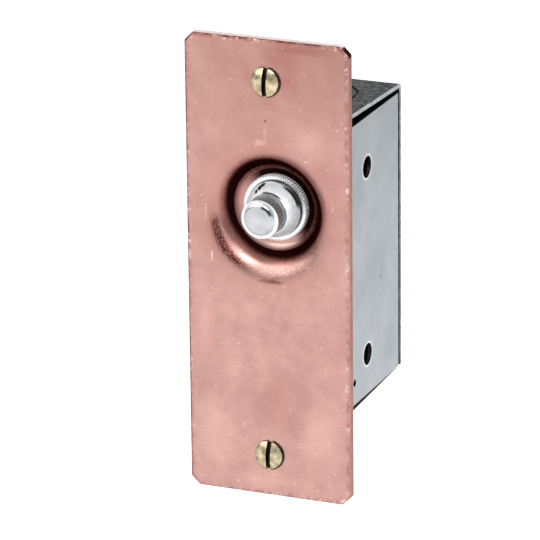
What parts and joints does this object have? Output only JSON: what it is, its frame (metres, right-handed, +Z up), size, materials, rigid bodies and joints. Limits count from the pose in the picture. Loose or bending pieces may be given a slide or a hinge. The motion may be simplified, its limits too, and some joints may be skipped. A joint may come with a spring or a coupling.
{
  "type": "door jamb switch",
  "caption": "Door jamb switch: copper-finished face plate with a drawn recess and a sprung plunger, in front of a shallow riveted steel box.",
  "frame": {"origin": "centre of the face plate's back, the face that lies on the jamb", "axes": "+Y into the jamb, along the plunger's travel; +Z up, along the plate's length; +X to the right for someone who looks at the plate"},
  "size_m": [0.0382, 0.0441, 0.1048],
  "materials": {
    "copper_plate": "satin copper plating on steel",
    "screw_brass": "pale machined brass",
    "galvanised_steel": "galvanised sheet",
    "rivet_steel": "zinc-coated",
    "nickel_plate": "bright nickel plating on brass",
    "spring_steel": "plain spring steel",
    "phenolic": "moulded dark brown",
    "contact_brass": "rolled brass strip",
    "contact_silver": "silver",
    "fibre": "vulcanised fibre"
  },
  "bodies": {
    "jamb_box": {"face_plate": "copper_plate", "cover_screw_top": "screw_brass", "cover_screw_bottom": "screw_brass", "box_frame": "galvanised_steel", "box_side_right": "galvanised_steel", "box_side_left": "galvanised_steel", "box_rivets": "rivet_steel", "knurled_nut": "nickel_plate", "lock_washer": "spring_steel", "switch_bushing": "nickel_plate", "switch_housing": "phenolic", "switch_base": "phenolic", "housing_rivets": "contact_brass", "fixed_contact_right": "contact_brass", "fixed_contact_left": "contact_brass", "terminal_screw_right": "screw_brass", "terminal_screw_left": "screw_brass", "fixed_tips": "contact_silver", "return_spring": "spring_steel"},
    "button": {"plunger": "nickel_plate", "plunger_insulator": "fibre", "contact_bridge": "contact_brass", "moving_tips": "contact_silver", "retaining_clip": "spring_steel"}
  },
  "joints": [
    {"name": "plunger_slide", "type": "slide", "parent": "jamb_box", "child": "button", "axis": [0, 1, 0], "range_m": [0, 0.0046], "stiffness_N_per_m": 900, "springref_m": -0.003, "deforming": ["return_spring"]}
  ]
}
